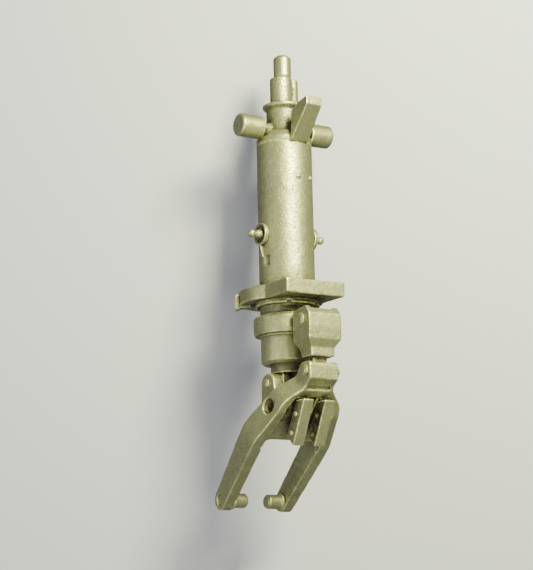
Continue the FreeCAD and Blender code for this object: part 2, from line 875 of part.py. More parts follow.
def wheel_gap():
    """Gap between the arms, seen square to their slope."""
    return both_sides([
        (gap_half, gap_along, 28),
        (tip_half - fork_arm_thickness, tip_along + 2 * OVERCUT, 0),
    ])


def yoke_outline(grow=0.0, setback=0.0):
    """Side outline of the yoke plates, grown for their pocket or set back for the tongue."""
    return [
        (yoke_top_front + grow - setback, pivot_z - yoke_top_drop + grow, 3),
        (yoke_foot_front + grow - setback, pivot_z - yoke_foot_drop - grow, 4),
        (yoke_heel_back - grow - setback, pivot_z - yoke_heel_drop - grow, 6),
        (yoke_top_back - grow - setback, pivot_z - yoke_top_drop + grow, 3),
    ]


def fork():
    """Fork casting: knee head, crown with pivot cheeks, front pocket, and two arms."""
    above = crown_above + 2 * OVERCUT
    below = -front_below - 60.0
    body = side_plate(fork_side(), -arm_half - OVERCUT, arm_half + OVERCUT)
    body = body.common(across_arm(fork_widths(), below, above))
    body = body.cut(across_arm(wheel_gap(), below, above))
    pocket = both_sides([
        (yoke_outer + 6.0, pocket_along, 10),
        (pocket_half, flare_along + 20.0, 20),
        (arm_half - fork_arm_thickness, gap_along + 30.0, 0),
    ])
    body = body.cut(across_arm(pocket, below, -web_front_below))
    cheek = [
        (-piston_eye_radius, pivot_z + piston_eye_radius, piston_eye_radius),
        (piston_eye_radius, pivot_z + piston_eye_radius, piston_eye_radius),
        (piston_eye_radius + 16.0, pivot_z - 36.0, 20),
        (piston_eye_radius + 10.0, pivot_z - 80.0, 0),
        (-piston_eye_radius - 4.0, pivot_z - 110.0, 0),
    ]
    body = body.fuse(side_plate(cheek, fork_cheek_inner, fork_cheek_outer))
    body = body.fuse(side_plate(cheek, -fork_cheek_outer, -fork_cheek_inner))
    body = body.cut(side_plate(yoke_outline(side_gap), -yoke_outer - side_gap, yoke_outer + side_gap))
    tongue = side_plate([
        *yoke_outline(setback=yoke_tongue_setback)[:2],
        (*arm_point(gap_along - 20.0, OVERCUT - web_front_below), 0),
        (*arm_point(flare_along, OVERCUT - web_front_below), 0),
    ], seat_gap - yoke_slot_half, yoke_slot_half - seat_gap)
    body = body.fuse(tongue)
    mouth_half = link_tongue_half + side_gap
    mouth_reach = tongue_eye_radius + open_pivot_gap
    body = body.cut(bar(mouth_reach, -mouth_half, mouth_half, knee_forward, knee_z))
    body = body.cut(box(-mouth_half, mouth_half, knee_forward - mouth_reach, knee_forward + mouth_reach,
                        knee_z, knee_z + 2 * knee_eye_radius))
    body = body.cut(box(-mouth_half, mouth_half, knee_forward - 2 * knee_eye_radius, knee_forward,
                        knee_z + 5.0, knee_z + 2 * knee_eye_radius))
    wide = arm_half + 2 * OVERCUT
    body = body.cut(bar(link_pin_radius + open_pivot_gap, -wide, wide, knee_forward, knee_z))
    body = body.cut(bar(fork_pin_radius + seat_gap, -wide, wide, 0, pivot_z))
    body = body.cut(bar(tow_radius + tow_bush_wall + seat_gap, -wide, wide, tow_forward, tow_z))
    body = body.cut(bar(spigot_radius - spigot_step + seat_gap, -wide, wide, axle_forward, axle_z))
    for forward, down in yoke_bolt_places:
        body = body.cut(bar(yoke_bolt_radius + seat_gap, -yoke_outer, yoke_outer, forward, pivot_z - down))
    return body


def yoke_plate():
    """Right yoke plate, seated in the fork's front pocket beside the tongue."""
    body = side_plate(yoke_outline(), yoke_slot_half, yoke_outer)
    for forward, down in yoke_bolt_places:
        body = body.cut(bar(yoke_bolt_radius + seat_gap, 0, yoke_outer + OVERCUT, forward, pivot_z - down))
    return body


def yoke_bolts():
    """Two cross bolts with round heads and nuts through the yoke plates and the tongue."""
    bolts = []
    for forward, down in yoke_bolt_places:
        z = pivot_z - down
        bolts.append(turned_x([
            (-yoke_outer - yoke_head_height, 0, 0),
            (-yoke_outer - yoke_head_height, yoke_head_radius / 2, 0),
            (-yoke_outer - yoke_head_height / 2, yoke_head_radius, 0),
            (-yoke_outer, yoke_head_radius, 0),
            (-yoke_outer, yoke_bolt_radius, 0),
            (yoke_outer, yoke_bolt_radius, 0),
            (yoke_outer, yoke_head_radius, 0),
            (yoke_outer + yoke_head_height, yoke_head_radius, 0),
            (yoke_outer + yoke_head_height, 0, 0),
        ], forward, z))
    return Part.makeCompound(bolts)


def tow_bushes():
    """Lining of the tow bar hole through the crown."""
    return bush_x(tow_radius, tow_radius + tow_bush_wall, -tow_bush_half, tow_bush_half, tow_forward, tow_z)


def axle_spigot():
    """Right axle spigot: flanged stub that carries one side of the wheel."""
    turn = (axle_along - gap_along) / (tip_along - gap_along)
    inner = gap_half + turn * (tip_half - fork_arm_thickness - gap_half)
    outer = inner + spigot_seat
    seat_radius = spigot_radius - spigot_step
    flange_end = inner - spigot_proud
    return turned_x([
        (spigot_tip, 0, 0),
        (spigot_tip, spigot_radius, spigot_bevel),
        (flange_end - spigot_flange_height, spigot_radius, 0),
        (flange_end - spigot_flange_height, spigot_flange_radius, 0),
        (flange_end, spigot_flange_radius, 0),
        (flange_end, seat_radius, 0),
        (outer, seat_radius, 0),
        (outer, 0, 0),
    ], axle_forward, axle_z)


os.makedirs("parts", exist_ok=True)
save("barrel", barrel())
save("head", head())
save("trunnion_right", trunnion())
save("trunnion_left", mirrored(trunnion()))
save("retraction_arm", retraction_arm())
save("valve_body", valve_body())
save("valve_side_port", side_port(lobe_radius))
save("valve_stem", valve_stem())
save("stud_boss_right", stud_boss())
save("stud_boss_left", mirrored(stud_boss()))
save("ball_stud_right", ball_stud())
save("ball_stud_left", mirrored(ball_stud()))
save("grease_fittings", grease_fittings())
save("flange_plate", flange_plate())
save("hook_bracket", hook_bracket())
save("gland_nut", gland_nut())
save("gland_ring", gland_ring())
save("sleeve", sleeve())
save("collar_retainer", collar_retainer())
save("wiper_ring", wiper_ring())
save("lower_bearing", lower_bearing())
save("orifice_tube", orifice_tube())
save("orifice_plate", orifice_plate())
save("steering_collar", steering_collar())
save("collar_bush", collar_bush())
save("collar_lug_bushes", collar_lug_bushes())
save("link", link())
save("link_pin", pin(link_pin_radius, link_pin_head, link_half, link_pin_forward, link_z))
save("link_pin_nut", nut(link_pin_radius, link_pin_head, link_half, link_pin_forward, link_z))
save("knee_pin", pin(link_pin_radius, knee_pin_head, knee_half, knee_forward, knee_z))
save("knee_pin_nut", nut(link_pin_radius, knee_pin_head, knee_half, knee_forward, knee_z))
save("piston_tube", piston_tube())
save("piston_end", piston_end())
save("piston_end_bush", bush_x(fork_pin_radius + running_gap, fork_pin_radius + bush_wall,
                               -piston_lug_half, piston_lug_half, 0, pivot_z))
save("metering_pin", metering_pin())
save("piston_head", piston_head())
save("piston_seal", piston_seal())
save("fork", fork())
save("fork_pin", pin(fork_pin_radius, fork_pin_head, fork_cheek_outer, 0, pivot_z))
save("fork_pin_nut", nut(fork_pin_radius, fork_pin_head, fork_cheek_outer, 0, pivot_z))
save("yoke_plate_right", yoke_plate())
save("yoke_plate_left", mirrored(yoke_plate()))
save("yoke_bolts", yoke_bolts())
save("tow_bushes", tow_bushes())
save("axle_spigot_right", axle_spigot())
save("axle_spigot_left", mirrored(axle_spigot()))
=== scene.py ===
import json
import math

import bpy
from bpy.props import FloatProperty, FloatVectorProperty, IntProperty, PointerProperty
from mathutils import Matrix, Vector

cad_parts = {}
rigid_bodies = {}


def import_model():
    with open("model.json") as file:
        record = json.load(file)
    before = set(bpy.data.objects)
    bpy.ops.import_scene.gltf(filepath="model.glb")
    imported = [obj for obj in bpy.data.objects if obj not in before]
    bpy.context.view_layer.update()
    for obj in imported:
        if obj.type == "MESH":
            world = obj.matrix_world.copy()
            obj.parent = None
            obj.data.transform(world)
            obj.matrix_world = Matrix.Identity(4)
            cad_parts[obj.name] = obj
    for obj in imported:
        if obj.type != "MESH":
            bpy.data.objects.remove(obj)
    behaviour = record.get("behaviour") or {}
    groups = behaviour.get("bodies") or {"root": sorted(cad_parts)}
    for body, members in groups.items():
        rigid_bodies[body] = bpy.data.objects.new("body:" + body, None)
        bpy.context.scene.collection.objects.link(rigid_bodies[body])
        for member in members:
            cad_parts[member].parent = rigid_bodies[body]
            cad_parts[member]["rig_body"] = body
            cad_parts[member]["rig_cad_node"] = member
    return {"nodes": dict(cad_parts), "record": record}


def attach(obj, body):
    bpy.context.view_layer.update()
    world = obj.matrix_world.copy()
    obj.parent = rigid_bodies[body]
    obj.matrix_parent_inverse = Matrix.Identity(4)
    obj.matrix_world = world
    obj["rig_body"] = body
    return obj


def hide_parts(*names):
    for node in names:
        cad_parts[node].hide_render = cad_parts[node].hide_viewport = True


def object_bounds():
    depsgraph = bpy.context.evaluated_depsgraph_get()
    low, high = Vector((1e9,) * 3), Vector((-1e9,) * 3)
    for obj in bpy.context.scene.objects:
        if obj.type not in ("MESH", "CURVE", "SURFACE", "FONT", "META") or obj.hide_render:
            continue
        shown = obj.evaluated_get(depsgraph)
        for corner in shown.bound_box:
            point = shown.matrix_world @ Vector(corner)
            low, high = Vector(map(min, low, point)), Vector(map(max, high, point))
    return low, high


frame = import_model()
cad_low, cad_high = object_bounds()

bl_info = {
    "name": "Landing gear strut",
    "version": (1, 0, 0),
    "blender": (4, 5, 0),
    "location": "View3D > Sidebar > Strut",
    "description": "Dresses the pieces of a nose landing gear strut as bare castings",
    "category": "Add Mesh",
}

NODES = frame["nodes"]
BODY_OF = {n: body for body, names in frame["record"]["behaviour"]["bodies"].items() for n in names}
SLOT_OF = {row["node"]: row["material_slot"] for row in frame["record"]["subparts"]}

# Grids of the skins, in metres: the barrel's is coarse, so that it stays light
BARREL_GRID = 0.0030
MIDDLE_GRID = 0.0018
SMALL_GRID = 0.0012

# Heights of the slow waves on pieces that need less than the setting, and the link's running room
RUNNING_LUMP = 0.0005
FITTING_LUMP = 0.0004
PIN_LUMP = 0.0003
LINK_ROOM = 0.0004

# Room below the arms for the fully extended strut, and from the looked-at point to the backdrop
FORK_DROP = 0.10
BACKDROP_GAP = 0.30
STAGE_SIZE = 16.0

# Colours of the lights: a warm key and front light, and a cool fill
KEY_COLOUR = (0.97, 1.0, 0.70)
FILL_COLOUR = (0.86, 0.89, 1.0)
FRONT_COLOUR = (0.98, 1.0, 0.80)


class StrutFinish(bpy.types.PropertyGroup):
    """Colours and surface of the castings and the turned pieces."""

    cast_colour: FloatVectorProperty(
        name="Casting", description="Clean bare casting", subtype="COLOR",
        size=3, min=0.0, max=1.0, default=(0.65, 0.66, 0.28))
    # Dark colour of the patina in the recesses, also used as painted shade in recesses, under
    # ledges and between pieces
    patina_and_shade_colour: FloatVectorProperty(
        name="Patina and shade", description="Dark film that sits in the recesses", subtype="COLOR",
        size=3, min=0.0, max=1.0, default=(0.050, 0.042, 0.020))
    # Bright edges: metal rubbed bright, and painted highlights along the ridges
    worn_and_lit_colour: FloatVectorProperty(
        name="Worn edge", description="Metal rubbed bright on the edges", subtype="COLOR",
        size=3, min=0.0, max=1.0, default=(0.93, 0.95, 0.40))
    steel_colour: FloatVectorProperty(
        name="Turned metal", description="Pins, studs and sleeve", subtype="COLOR",
        size=3, min=0.0, max=1.0, default=(0.66, 0.67, 0.28))
    # Dark brown of the piston tube: a dull coat, and painted shade under the sleeve
    tube_and_shade_colour: FloatVectorProperty(
        name="Piston tube", description="Dull brown film on the piston tube", subtype="COLOR",
        size=3, min=0.0, max=1.0, default=(0.25, 0.20, 0.10))
    bronze_colour: FloatVectorProperty(
        name="Bronze", description="Bushes and bearings", subtype="COLOR",
        size=3, min=0.0, max=1.0, default=(0.40, 0.34, 0.17))
    voxel: FloatProperty(
        name="Skin grid", description="Grid of the skin that covers each casting",
        subtype="DISTANCE", unit="LENGTH", min=0.0012, max=0.01, default=0.0024)
    soften: IntProperty(
        name="Edge softening", description="Passes that round the edges of a casting",
        min=0, max=40, default=9)
    lump: FloatProperty(
        name="Cast unevenness", description="Height of the slow waves in a cast surface",
        subtype="DISTANCE", unit="LENGTH", min=0.0, max=0.003, default=0.0007)
    lump_size: FloatProperty(
        name="Wave size", description="Size of the slow waves in a cast surface",
        subtype="DISTANCE", unit="LENGTH", min=0.003, max=0.1, default=0.014)


class StrutStage(bpy.types.PropertyGroup):
    """Floor, backdrop, lights and camera."""

    floor_colour: FloatVectorProperty(
        name="Floor", description="Pale floor and backdrop", subtype="COLOR",
        size=3, min=0.0, max=1.0, default=(0.80, 0.80, 0.79))
    key_power: FloatProperty(
        name="Key light", description="Power of the main soft light",
        subtype="POWER", unit="POWER", min=0.0, default=320.0)
    fill_power: FloatProperty(
        name="Fill light", description="Power of the weak light from the left",
        subtype="POWER", unit="POWER", min=0.0, default=30.0)
    front_power: FloatProperty(
        name="Front light", description="Power of the weak light from the side of the camera",
        subtype="POWER", unit="POWER", min=0.0, default=36.0)
    azimuth: FloatProperty(
        name="Azimuth", description="Camera's turn about the upright, from straight ahead",
        subtype="ANGLE", unit="ROTATION", default=math.radians(-32.0))
    elevation: FloatProperty(
        name="Elevation", description="Camera's height above the horizon",
        subtype="ANGLE", unit="ROTATION", default=math.radians(-11.3))
    roll: FloatProperty(
        name="Roll", description="Camera's turn about its own line of sight",
        subtype="ANGLE", unit="ROTATION", default=math.radians(1.25))
    distance: FloatProperty(
        name="Distance", description="From the camera to the point that it looks at",
        subtype="DISTANCE", unit="LENGTH", min=0.5, default=5.8)
    lens: FloatProperty(
        name="Lens", description="Focal length in millimetres on a 36 mm sensor",
        min=10.0, default=122.0)
    side_shift: FloatProperty(
        name="Side", description="Looked-at point, sideways from the strut's axis",
        subtype="DISTANCE", unit="LENGTH", default=-0.0625)
    target_height: FloatProperty(
        name="Height", description="Looked-at point, above the trunnion axis",
        subtype="DISTANCE", unit="LENGTH", default=-0.477)


# ------------------------------------------------------------------ modelling helpers

def alone(piece):
    """Selects one object and nothing else."""
    if bpy.context.object and bpy.context.object.mode != "OBJECT":
        bpy.ops.object.mode_set(mode="OBJECT")
    bpy.ops.object.select_all(action="DESELECT")
    piece.select_set(True)
    bpy.context.view_layer.objects.active = piece


def finish_with(piece, kind, **values):
    """Adds one modifier, sets it and applies it."""
    alone(piece)
    bpy.ops.object.modifier_add(type=kind)
    modifier = piece.modifiers[-1]
    for name, value in values.items():
        setattr(modifier, name, value)
    bpy.ops.object.modifier_apply(modifier=modifier.name)


def copy_of(node, name):
    """A merged copy of a node's mesh, free of its body."""
    alone(NODES[node])
    bpy.ops.object.duplicate()
    piece = bpy.context.object
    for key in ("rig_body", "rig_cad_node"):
        if key in piece:
            del piece[key]
    piece.parent = None
    piece.name = name
    piece.data.name = name
    bpy.ops.object.mode_set(mode="EDIT")
    bpy.ops.mesh.select_all(action="SELECT")
    bpy.ops.mesh.remove_doubles(threshold=0.000002)
    bpy.ops.object.mode_set(mode="OBJECT")
    return piece


def wave_texture():
    """Slow procedural waves for cast surfaces."""
    texture = bpy.data.textures.get("cast waves") or bpy.data.textures.new("cast waves", "CLOUDS")
    texture.noise_scale = bpy.context.scene.strut_finish.lump_size
    texture.noise_depth = 3
    return texture


def carve(piece, centre, size, tilt):
    """Cuts a tilted block out of a piece."""
    bpy.ops.object.select_all(action="DESELECT")
    bpy.ops.mesh.primitive_cube_add(size=1.0, location=centre, rotation=(tilt, 0.0, 0.0),
                                    scale=size)
    block = bpy.context.object
    finish_with(piece, "BOOLEAN", object=block, operation="DIFFERENCE", solver="EXACT")
    alone(block)
    bpy.ops.object.delete()


def cast_skin(node, voxel=None, soften=None, lump=None, inset=0.0, cuts=()):
    """Replaces a node by its cast skin: cuts, even grid, rounded edges, waves, running room."""
    look = bpy.context.scene.strut_finish
    piece = copy_of(node, node + "_casting")
    for centre, size, tilt in cuts:
        carve(piece, centre, size, tilt)
    finish_with(piece, "REMESH", mode="VOXEL", voxel_size=voxel or look.voxel,
                use_smooth_shade=True)
    passes = look.soften if soften is None else soften
    finish_with(piece, "SMOOTH", factor=0.5, iterations=passes)
    height = look.lump if lump is None else lump
    if height > 0.0:
        finish_with(piece, "DISPLACE", texture=wave_texture(), strength=height, mid_level=0.5,
                    texture_coords="LOCAL")
    if inset > 0.0:
        finish_with(piece, "DISPLACE", strength=-inset, mid_level=0.0)
    alone(piece)
    bpy.ops.object.shade_smooth()
    dress(piece, node)
    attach(piece, BODY_OF[node])
    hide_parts(node)
    return piece


def dress(piece, node):
    """Gives a piece the material of its node's slot."""
    material = finish_of(SLOT_OF[node])
    piece.data.materials.clear()
    piece.data.materials.append(material)


def dress_node(node):
    """Gives a node that stays as it is a better material."""
    for entry in NODES[node].material_slots:
        entry.material = finish_of(SLOT_OF[node])


# ------------------------------------------------------------------ materials

def value_ramp(tree, low, high, source):
    """Maps a value from low..high to 0..1, clamped."""
    step = tree.nodes.new("ShaderNodeMapRange")
    step.inputs["From Min"].default_value = low
    step.inputs["From Max"].default_value = high
    tree.links.new(source, step.inputs["Value"])
    return step.outputs["Result"]


def mixed(tree, factor, first, second):
    """Colour mix; each of the two colours is a socket or a plain colour."""
    mix = tree.nodes.new("ShaderNodeMix")
    mix.data_type = "RGBA"
    mix.blend_type = "MIX"
    if isinstance(factor, (int, float)):
        mix.inputs["Factor"].default_value = factor
    else:
        tree.links.new(factor, mix.inputs["Factor"])
    for name, source in (("A", first), ("B", second)):
        socket = [s for s in mix.inputs if s.name == name and s.type == "RGBA"][0]
        if isinstance(source, bpy.types.NodeSocket):
            tree.links.new(source, socket)
        else:
            socket.default_value = (*source, 1.0)
    return [s for s in mix.outputs if s.type == "RGBA"][0]


def calculated(tree, operation, first, second, clamp=False):
    """One Math node on sockets or plain numbers."""
    node = tree.nodes.new("ShaderNodeMath")
    node.operation = operation
    node.use_clamp = clamp
    for socket, source in zip(node.inputs, (first, second)):
        if isinstance(source, (int, float)):
            socket.default_value = source
        else:
            tree.links.new(source, socket)
    return node.outputs["Value"]


def noise(tree, coords, scale, detail, roughness=0.55):
    """Value of a noise texture on the given coordinates."""
    node = tree.nodes.new("ShaderNodeTexNoise")
    node.inputs["Scale"].default_value = scale
    node.inputs["Detail"].default_value = detail
    node.inputs["Roughness"].default_value = roughness
    tree.links.new(coords, node.inputs["Vector"])
    return node.outputs["Fac"]


def recess_value(tree, distance, own_only):
    """How far a place is closed in, by its own piece or by all of them."""
    node = tree.nodes.new("ShaderNodeAmbientOcclusion")
    node.inputs["Distance"].default_value = distance
    node.samples = 8
    node.only_local = own_only
    return value_ramp(tree, 0.92, 0.50, node.outputs["AO"])


def metal_surface_group():
    """Aged bare metal: mottling, grain, patina with painted shade in recesses and between pieces,
    and rubbed bright edges with painted highlights along them.
    """
    group = bpy.data.node_groups.get("aged metal")
    if group:
        return group
    group = bpy.data.node_groups.new("aged metal", "ShaderNodeTree")
    for name, kind, default in (
            ("Clean", "NodeSocketColor", (0.6, 0.6, 0.5, 1.0)),
            ("Patina and shade", "NodeSocketColor", (0.1, 0.1, 0.07, 1.0)),
            ("Worn and lit", "NodeSocketColor", (0.8, 0.8, 0.7, 1.0)),
            ("Patina amount", "NodeSocketFloat", 1.0),
            ("Grain amount", "NodeSocketFloat", 1.0),
            ("Edge amount", "NodeSocketFloat", 1.0)):
        socket = group.interface.new_socket(name=name, in_out="INPUT", socket_type=kind)
        socket.default_value = default
    for name, kind in (("Colour", "NodeSocketColor"), ("Roughness", "NodeSocketFloat"),
                       ("Metallic", "NodeSocketFloat"), ("Height", "NodeSocketFloat")):
        group.interface.new_socket(name=name, in_out="OUTPUT", socket_type=kind)
    given = group.nodes.new("NodeGroupInput").outputs
    result = group.nodes.new("NodeGroupOutput").inputs
    coords = group.nodes.new("ShaderNodeTexCoord").outputs["Object"]

    clouds = value_ramp(group, 0.38, 0.66, noise(group, coords, 8.0, 4.0))
    blotch = value_ramp(group, 0.42, 0.62, noise(group, coords, 46.0, 5.0, 0.62))
    grain = noise(group, coords, 230.0, 3.0, 0.6)
    speck = value_ramp(group, 0.54, 0.68, noise(group, coords, 190.0, 2.0, 0.7))

    # Closeness to the piece itself, to all pieces, and within a short reach to neighbouring pieces:
    # it paints shade in recesses, under ledges and along contact lines, as well as the patina there
    own = recess_value(group, 0.06, True)
    shared = recess_value(group, 0.09, False)
    seam = recess_value(group, 0.010, False)
    split = group.nodes.new("ShaderNodeSeparateXYZ")
    group.links.new(coords, split.inputs["Vector"])
    # Keeps the floor from adding painted shade to the arms' ends
    above_floor = value_ramp(group, cad_low.z + 0.004, cad_low.z + 0.065, split.outputs["Z"])
    recess = calculated(group, "MAXIMUM", own, calculated(group, "MULTIPLY", shared, above_floor))
    point = group.nodes.new("ShaderNodeNewGeometry").outputs["Pointiness"]
    edge = value_ramp(group, 0.507, 0.535, point)
    hollow = value_ramp(group, 0.492, 0.455, point)

    tint = mixed(group, calculated(group, "MULTIPLY", clouds, 0.62),
                 given["Clean"], (0.33, 0.32, 0.17))
    tint = mixed(group, calculated(group, "MULTIPLY", blotch, 0.26), tint, (0.86, 0.86, 0.46))
    # Patina with painted shade: dark in recesses, hollows and contact lines, stronger in blotches,
    # plus dark specks
    patina_and_shade = calculated(group, "MAXIMUM", calculated(group, "MAXIMUM", recess, hollow), seam)
    patina_and_shade = calculated(group, "MULTIPLY", patina_and_shade, calculated(group, "ADD", 0.55,
                      calculated(group, "MULTIPLY", blotch, 0.6)))
    patina_and_shade = calculated(group, "ADD", patina_and_shade, calculated(
        group, "MULTIPLY", calculated(group, "MULTIPLY", speck, given["Grain amount"]), 0.55))
    patina_and_shade = calculated(group, "MULTIPLY", patina_and_shade, given["Patina amount"], clamp=True)
    tint = mixed(group, patina_and_shade, tint, given["Patina and shade"])
    # Bright edges: real rubbing, and painted highlights along the edges, strongest in the blotches
    wear_and_highlight = calculated(group, "MULTIPLY", edge, given["Edge amount"])
    wear_and_highlight = calculated(group, "MULTIPLY", wear_and_highlight, calculated(group, "ADD", 0.35, blotch), clamp=True)
    tint = mixed(group, wear_and_highlight, tint, given["Worn and lit"])
    group.links.new(tint, result["Colour"])

    rough = calculated(group, "ADD", 0.38, calculated(group, "MULTIPLY", clouds, 0.12))
    rough = calculated(group, "ADD", rough, calculated(group, "MULTIPLY", patina_and_shade, 0.25))
    rough = calculated(group, "SUBTRACT", rough, calculated(group, "MULTIPLY", wear_and_highlight, 0.14))
    group.links.new(rough, result["Roughness"])
    metal = calculated(group, "SUBTRACT", 0.90, calculated(group, "MULTIPLY", patina_and_shade, 0.5),
                       clamp=True)
    group.links.new(metal, result["Metallic"])
    height = calculated(group, "ADD", calculated(group, "MULTIPLY", grain, 0.6),
                        calculated(group, "MULTIPLY", blotch, 0.4))
    height = calculated(group, "SUBTRACT", height, calculated(group, "MULTIPLY", speck, 0.5))
    height = calculated(group, "MULTIPLY", height, given["Grain amount"])
    group.links.new(height, result["Height"])
    return group


FINISHES = {
    # slot: (name, colour property, amount of patina and painted shade, grain, amount of rubbed
    # edges and painted edge highlight)
    "casting": ("bare casting", "cast_colour", 1.1, 1.0, 1.2),
    "steel": ("turned metal", "steel_colour", 0.55, 0.8, 0.9),
    "bearing_bronze": ("bronze", "bronze_colour", 1.0, 0.4, 0.3),
    # The piston tube's dark brown is partly painted shade under the sleeve
    "chrome_tube": ("dull chrome", "tube_and_shade_colour", 1.2, 0.3, 0.2),
}


def finish_of(slot):
    """The material of a slot, made the first time that it is asked for."""
    look = bpy.context.scene.strut_finish
    if slot not in FINISHES:
        return plain_finish(slot)
    name, colour, patina, grain, edge = FINISHES[slot]
    material = bpy.data.materials.get(name)
    if material:
        return material
    material = bpy.data.materials.new(name)
    material.use_nodes = True
    tree = material.node_tree
    shader = tree.nodes["Principled BSDF"]
    surface = tree.nodes.new("ShaderNodeGroup")
    surface.node_tree = metal_surface_group()
    surface.inputs["Clean"].default_value = (*getattr(look, colour), 1.0)
    surface.inputs["Patina and shade"].default_value = (*look.patina_and_shade_colour, 1.0)
    surface.inputs["Worn and lit"].default_value = (*look.worn_and_lit_colour, 1.0)
    surface.inputs["Patina amount"].default_value = patina
    surface.inputs["Grain amount"].default_value = grain
    surface.inputs["Edge amount"].default_value = edge
    bump = tree.nodes.new("ShaderNodeBump")
    bump.inputs["Strength"].default_value = 0.5
    bump.inputs["Distance"].default_value = 0.0016
    tree.links.new(surface.outputs["Colour"], shader.inputs["Base Color"])
    tree.links.new(surface.outputs["Roughness"], shader.inputs["Roughness"])
    tree.links.new(surface.outputs["Metallic"], shader.inputs["Metallic"])
    tree.links.new(surface.outputs["Height"], bump.inputs["Height"])
    tree.links.new(bump.outputs["Normal"], shader.inputs["Normal"])
    return material


def plain_finish(slot):
    """Rubber, which is the same all over."""
    material = bpy.data.materials.get(slot)
    if material:
        return material
    material = bpy.data.materials.new(slot)
    material.use_nodes = True
    shader = material.node_tree.nodes["Principled BSDF"]
    shader.inputs["Base Color"].default_value = (0.02, 0.02, 0.02, 1.0)
    shader.inputs["Roughness"].default_value = 0.7
    return material


# ------------------------------------------------------------------ pieces

# The slot between the yoke plates: centre, size and tilt of the block that opens it
YOKE_SLOT = ((0.0, -0.0878, -0.8982), (0.0385, 0.055, 0.152), math.radians(26.9))
# The shallow groove across the front of the fork's head, in the same terms
HEAD_GROOVE = ((0.0, -0.159, -0.8125), (0.080, 0.014, 0.014), math.radians(40.0))


class STRUT_OT_barrel(bpy.types.Operator):
    """Cast skins of the barrel, its flange and the gland stack"""
    bl_idname = "strut.barrel"
    bl_label = "Barrel castings"

    def execute(self, context):
        cast_skin("barrel", voxel=BARREL_GRID)
        for node in ("flange_plate", "gland_nut", "gland_ring"):
            cast_skin(node)
        return {"FINISHED"}


class STRUT_OT_head(bpy.types.Operator):
    """Cast skins of the head, the valve, the trunnions and the retraction arm"""
    bl_idname = "strut.head"
    bl_label = "Head castings"

    def execute(self, context):
        for node in ("head", "valve_body", "valve_side_port", "trunnion_left", "trunnion_right",
                     "retraction_arm", "valve_stem"):
            cast_skin(node, voxel=MIDDLE_GRID)
        return {"FINISHED"}


class STRUT_OT_side_fittings(bpy.types.Operator):
    """Cast skins of the stud bosses, the ball studs and the hook"""
    bl_idname = "strut.side_fittings"
    bl_label = "Side fittings"

    def execute(self, context):
        for node in ("stud_boss_left", "stud_boss_right", "ball_stud_left", "ball_stud_right",
                     "hook_bracket", "grease_fittings"):
            cast_skin(node, voxel=SMALL_GRID, lump=FITTING_LUMP)
        return {"FINISHED"}


class STRUT_OT_steering(bpy.types.Operator):
    """Cast skins of the sleeve, the steering collar, the link and the piston's end"""
    bl_idname = "strut.steering"
    bl_label = "Steering collar and link"

    def execute(self, context):
        for node in ("steering_collar", "sleeve", "piston_end"):
            cast_skin(node, voxel=MIDDLE_GRID)
        cast_skin("link", voxel=MIDDLE_GRID, lump=RUNNING_LUMP, inset=LINK_ROOM)
        return {"FINISHED"}


class STRUT_OT_fork(bpy.types.Operator):
    """Cast skins of the fork, the yoke plates and the axle spigots"""
    bl_idname = "strut.fork"
    bl_label = "Fork castings"

    def execute(self, context):
        cast_skin("fork", soften=5, lump=RUNNING_LUMP, cuts=(YOKE_SLOT, HEAD_GROOVE))
        for node in ("yoke_plate_left", "yoke_plate_right",
                     "axle_spigot_left", "axle_spigot_right"):
            cast_skin(node, voxel=MIDDLE_GRID)
        return {"FINISHED"}


class STRUT_OT_pins(bpy.types.Operator):
    """Cast skins of the pins, their nuts and the yoke bolts"""
    bl_idname = "strut.pins"
    bl_label = "Pins and bolts"

    def execute(self, context):
        for node in ("link_pin", "link_pin_nut", "knee_pin", "knee_pin_nut", "fork_pin",
                     "fork_pin_nut", "yoke_bolts", "collar_retainer"):
            cuts = (YOKE_SLOT,) if node == "yoke_bolts" else ()
            cast_skin(node, voxel=SMALL_GRID, lump=PIN_LUMP, cuts=cuts)
        return {"FINISHED"}


class STRUT_OT_turned_pieces(bpy.types.Operator):
    """Materials of the turned pieces that keep their exact shape"""
    bl_idname = "strut.turned_pieces"
    bl_label = "Turned pieces"

    def execute(self, context):
        for node in NODES:
            if not bpy.data.objects.get(node + "_casting"):
                dress_node(node)
        return {"FINISHED"}


# ------------------------------------------------------------------ stage

def stage_material():
    """Pale matt surface that shows from its front, and throws no light back on the strut."""
    material = bpy.data.materials.get("pale stage")
    if material:
        return material
    look = bpy.context.scene.strut_stage
    material = bpy.data.materials.new("pale stage")
    material.use_nodes = True
    tree = material.node_tree
    shader = tree.nodes["Principled BSDF"]
    shader.inputs["Base Color"].default_value = (*look.floor_colour, 1.0)
    shader.inputs["Roughness"].default_value = 0.95
    shader.inputs["Specular IOR Level"].default_value = 0.1
    clear = tree.nodes.new("ShaderNodeBsdfTransparent")
    choose = tree.nodes.new("ShaderNodeMixShader")
    factor = tree.nodes.new("ShaderNodeNewGeometry").outputs["Backfacing"]
    path = tree.nodes.new("ShaderNodeLightPath")
    unseen = calculated(tree, "SUBTRACT", 1.0, path.outputs["Is Camera Ray"])
    factor = calculated(tree, "MAXIMUM", factor, unseen)
    tree.links.new(factor, choose.inputs["Fac"])
    tree.links.new(shader.outputs["BSDF"], choose.inputs[1])
    tree.links.new(clear.outputs["BSDF"], choose.inputs[2])
    tree.links.new(choose.outputs["Shader"], tree.nodes["Material Output"].inputs["Surface"])
    return material


def sight_lines():
    """Camera's back, right and up directions before its roll, and the looked-at point."""
    look = bpy.context.scene.strut_stage
    a, e = look.azimuth, look.elevation
    back = Vector((math.sin(a) * math.cos(e), -math.cos(a) * math.cos(e), math.sin(e)))
    right = Vector((math.cos(a), math.sin(a), 0.0))
    target = right * look.side_shift + Vector((0.0, 0.0, look.target_height))
    return back, right, back.cross(right), target


